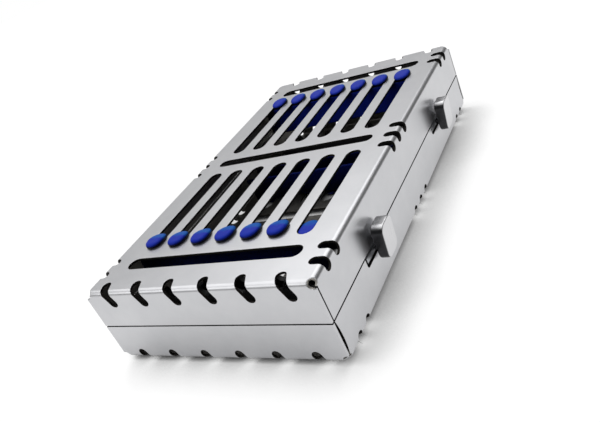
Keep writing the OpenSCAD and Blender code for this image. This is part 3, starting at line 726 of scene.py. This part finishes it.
sunk_half_l_mm = (neck_l_mm + sunk_longer_mm) / 2
sunk_middle = sunk_longer_mm / 2
outline = slot_round(neck_w_mm, neck_l_mm + sunk_longer_mm, sunk_middle)
rings = neck_rings(outline, 1, lid_top_mm)
for share, rise in sunk_rings:
    ring = []
    for x, y in outline:
        x, y = x * share, sunk_middle + (y - sunk_middle) * share
        inward = max(y - sunk_middle - slope_start_mm, 0) / sunk_half_l_mm
        top = (sheet_mm - sunk_mm) * rise - sunk_slope_mm * inward
        ring.append((x, y, lid_top_mm - sheet_mm + top))
    rings.append(ring)
sunk = placed(stacked("near_hold_down_sunk_stud", rings), "near_hold_down_sunk_stud",
              -first_stud_mm, -hold_down_mm)
sunk.data.materials.append(blue_silicone)
stand_in(sunk, "near_hold_down")


# The toothed rests: black silicone combs on the base's floor, moulded with a row of round
# notches that the instrument handles lie in, and studs that grip the floor's slots.
comb_edge_mm = 0.25
comb_half_mm = 4.5
comb_high_mm = 10.5
comb_mm = 59.0             # each comb's distance from the middle of the case, along it
groove_half_mm = 1.8       # the groove between a comb's two rows of teeth
groove_floor_mm = 4.0
notch_pitch_mm = 8.4
notch_count = 10
notch_r_mm = 3.9
notch_lift_mm = 0.3        # a notch's centre lies this far above the teeth
notch_steps = 14
notch_merge_mm = 0.001     # corners of neighbouring notches closer than this become one
black_skin_mm = 0.3

# Moulded silicone: near black, with a soft, slightly dusty sheen. Its skin is drawn coarser
# than it is, so that the dust shows.
black_silicone = bpy.data.materials.new("moulded_black_silicone")
tree = blank(black_silicone)
place = put(tree, "ShaderNodeTexCoord").outputs["Object"]
skin = put(tree, "ShaderNodeTexNoise", {"Scale": 1000 / black_skin_mm, "Detail": 3.0},
           {"Vector": place})
tone = put(tree, "ShaderNodeMix",
           {first_colour: linear("#141416"), second_colour: linear("#222226")},
           {0: skin.outputs["Fac"]}, data_type="RGBA")
gloss = put(tree, "ShaderNodeMapRange", {"To Min": 0.42, "To Max": 0.58},
            {"Value": skin.outputs["Fac"]})
texture = put(tree, "ShaderNodeBump", {"Strength": 0.2, "Distance": texture_deep_mm / 1000},
              {"Height": skin.outputs["Fac"]})
rubber = put(tree, "ShaderNodeBsdfPrincipled", {"IOR": silicone_ior},
             {"Base Color": tone.outputs[mixed_colour], "Roughness": gloss.outputs[0],
              "Normal": texture.outputs[0]})
put(tree, "ShaderNodeOutputMaterial", feeds={"Surface": rubber.outputs[0]})

# One cell of the comb: a notch between two half teeth, open at both ends
notch_half = math.sqrt(notch_r_mm ** 2 - notch_lift_mm ** 2)
cell = [(-notch_pitch_mm / 2, comb_high_mm)]
for k in range(notch_steps + 1):
    x = -notch_half * math.cos(math.pi * k / notch_steps)
    cell.append((x, comb_high_mm + notch_lift_mm - math.sqrt(notch_r_mm ** 2 - x ** 2)))
cell.append((notch_pitch_mm / 2, comb_high_mm))


def comb_section(x, tooth_z):
    """The comb's outline across X, with both rows of teeth at one height."""
    half = [(comb_half_mm, 0), (comb_half_mm, tooth_z), (groove_half_mm, tooth_z),
            (groove_half_mm, groove_floor_mm)]
    return [(x, y, floor_low_mm + sheet_mm + z)
            for y, z in half + [(-y, z) for y, z in reversed(half)]]


def open_strip(name, sections, capped=""):
    """A mesh through sections along X, closed only at the end that is named."""
    work = bmesh.new()
    rows = [[work.verts.new([c / 1000 for c in point]) for point in ring] for ring in sections]
    for row, after in zip(rows, rows[1:]):
        for k in range(len(row)):
            n = (k + 1) % len(row)
            work.faces.new((row[k], after[k], after[n], row[n]))
    if capped == "start":
        work.faces.new(rows[0])
    if capped == "end":
        work.faces.new(rows[-1][::-1])
    mesh = bpy.data.meshes.new(name)
    work.to_mesh(mesh)
    work.free()
    return mesh


# Notch after notch, with a plain block at each end
notch_row = row_tree("row_of_notches", "Cell", "Ends", notch_merge_mm)
row_half = notch_pitch_mm * notch_count / 2

for node, y_mm, towards in (("near_comb", -comb_mm, 1), ("far_comb", comb_mm, -1)):
    ends = bpy.data.meshes.new(node + "_ends")
    work = bmesh.new()
    for low_x, high_x, capped in ((-rail_half_mm, -row_half, "start"),
                                  (row_half, rail_half_mm, "end")):
        work.from_mesh(open_strip("block", [comb_section(low_x, comb_high_mm),
                                            comb_section(high_x, comb_high_mm)], capped))
    work.to_mesh(ends)
    work.free()
    end_blocks = placed(ends, node + "_ends")
    strip = open_strip(node + "_cell", [comb_section(x, z) for x, z in cell])
    bar = placed(grown(strip, node + "_bar", notch_row,
                       {"Ends": end_blocks, "Count": notch_count,
                        "Pitch": notch_pitch_mm / 1000,
                        "First": (notch_pitch_mm / 2 - row_half) / 1000,
                        "Finish": black_silicone}), node + "_bar")
    bpy.data.objects.remove(end_blocks)
    ease_edges(bar, comb_edge_mm, moulded_edge_steps)
    studded(node, bar, y_mm, -1, floor_low_mm, towards, stud_count, black_silicone)
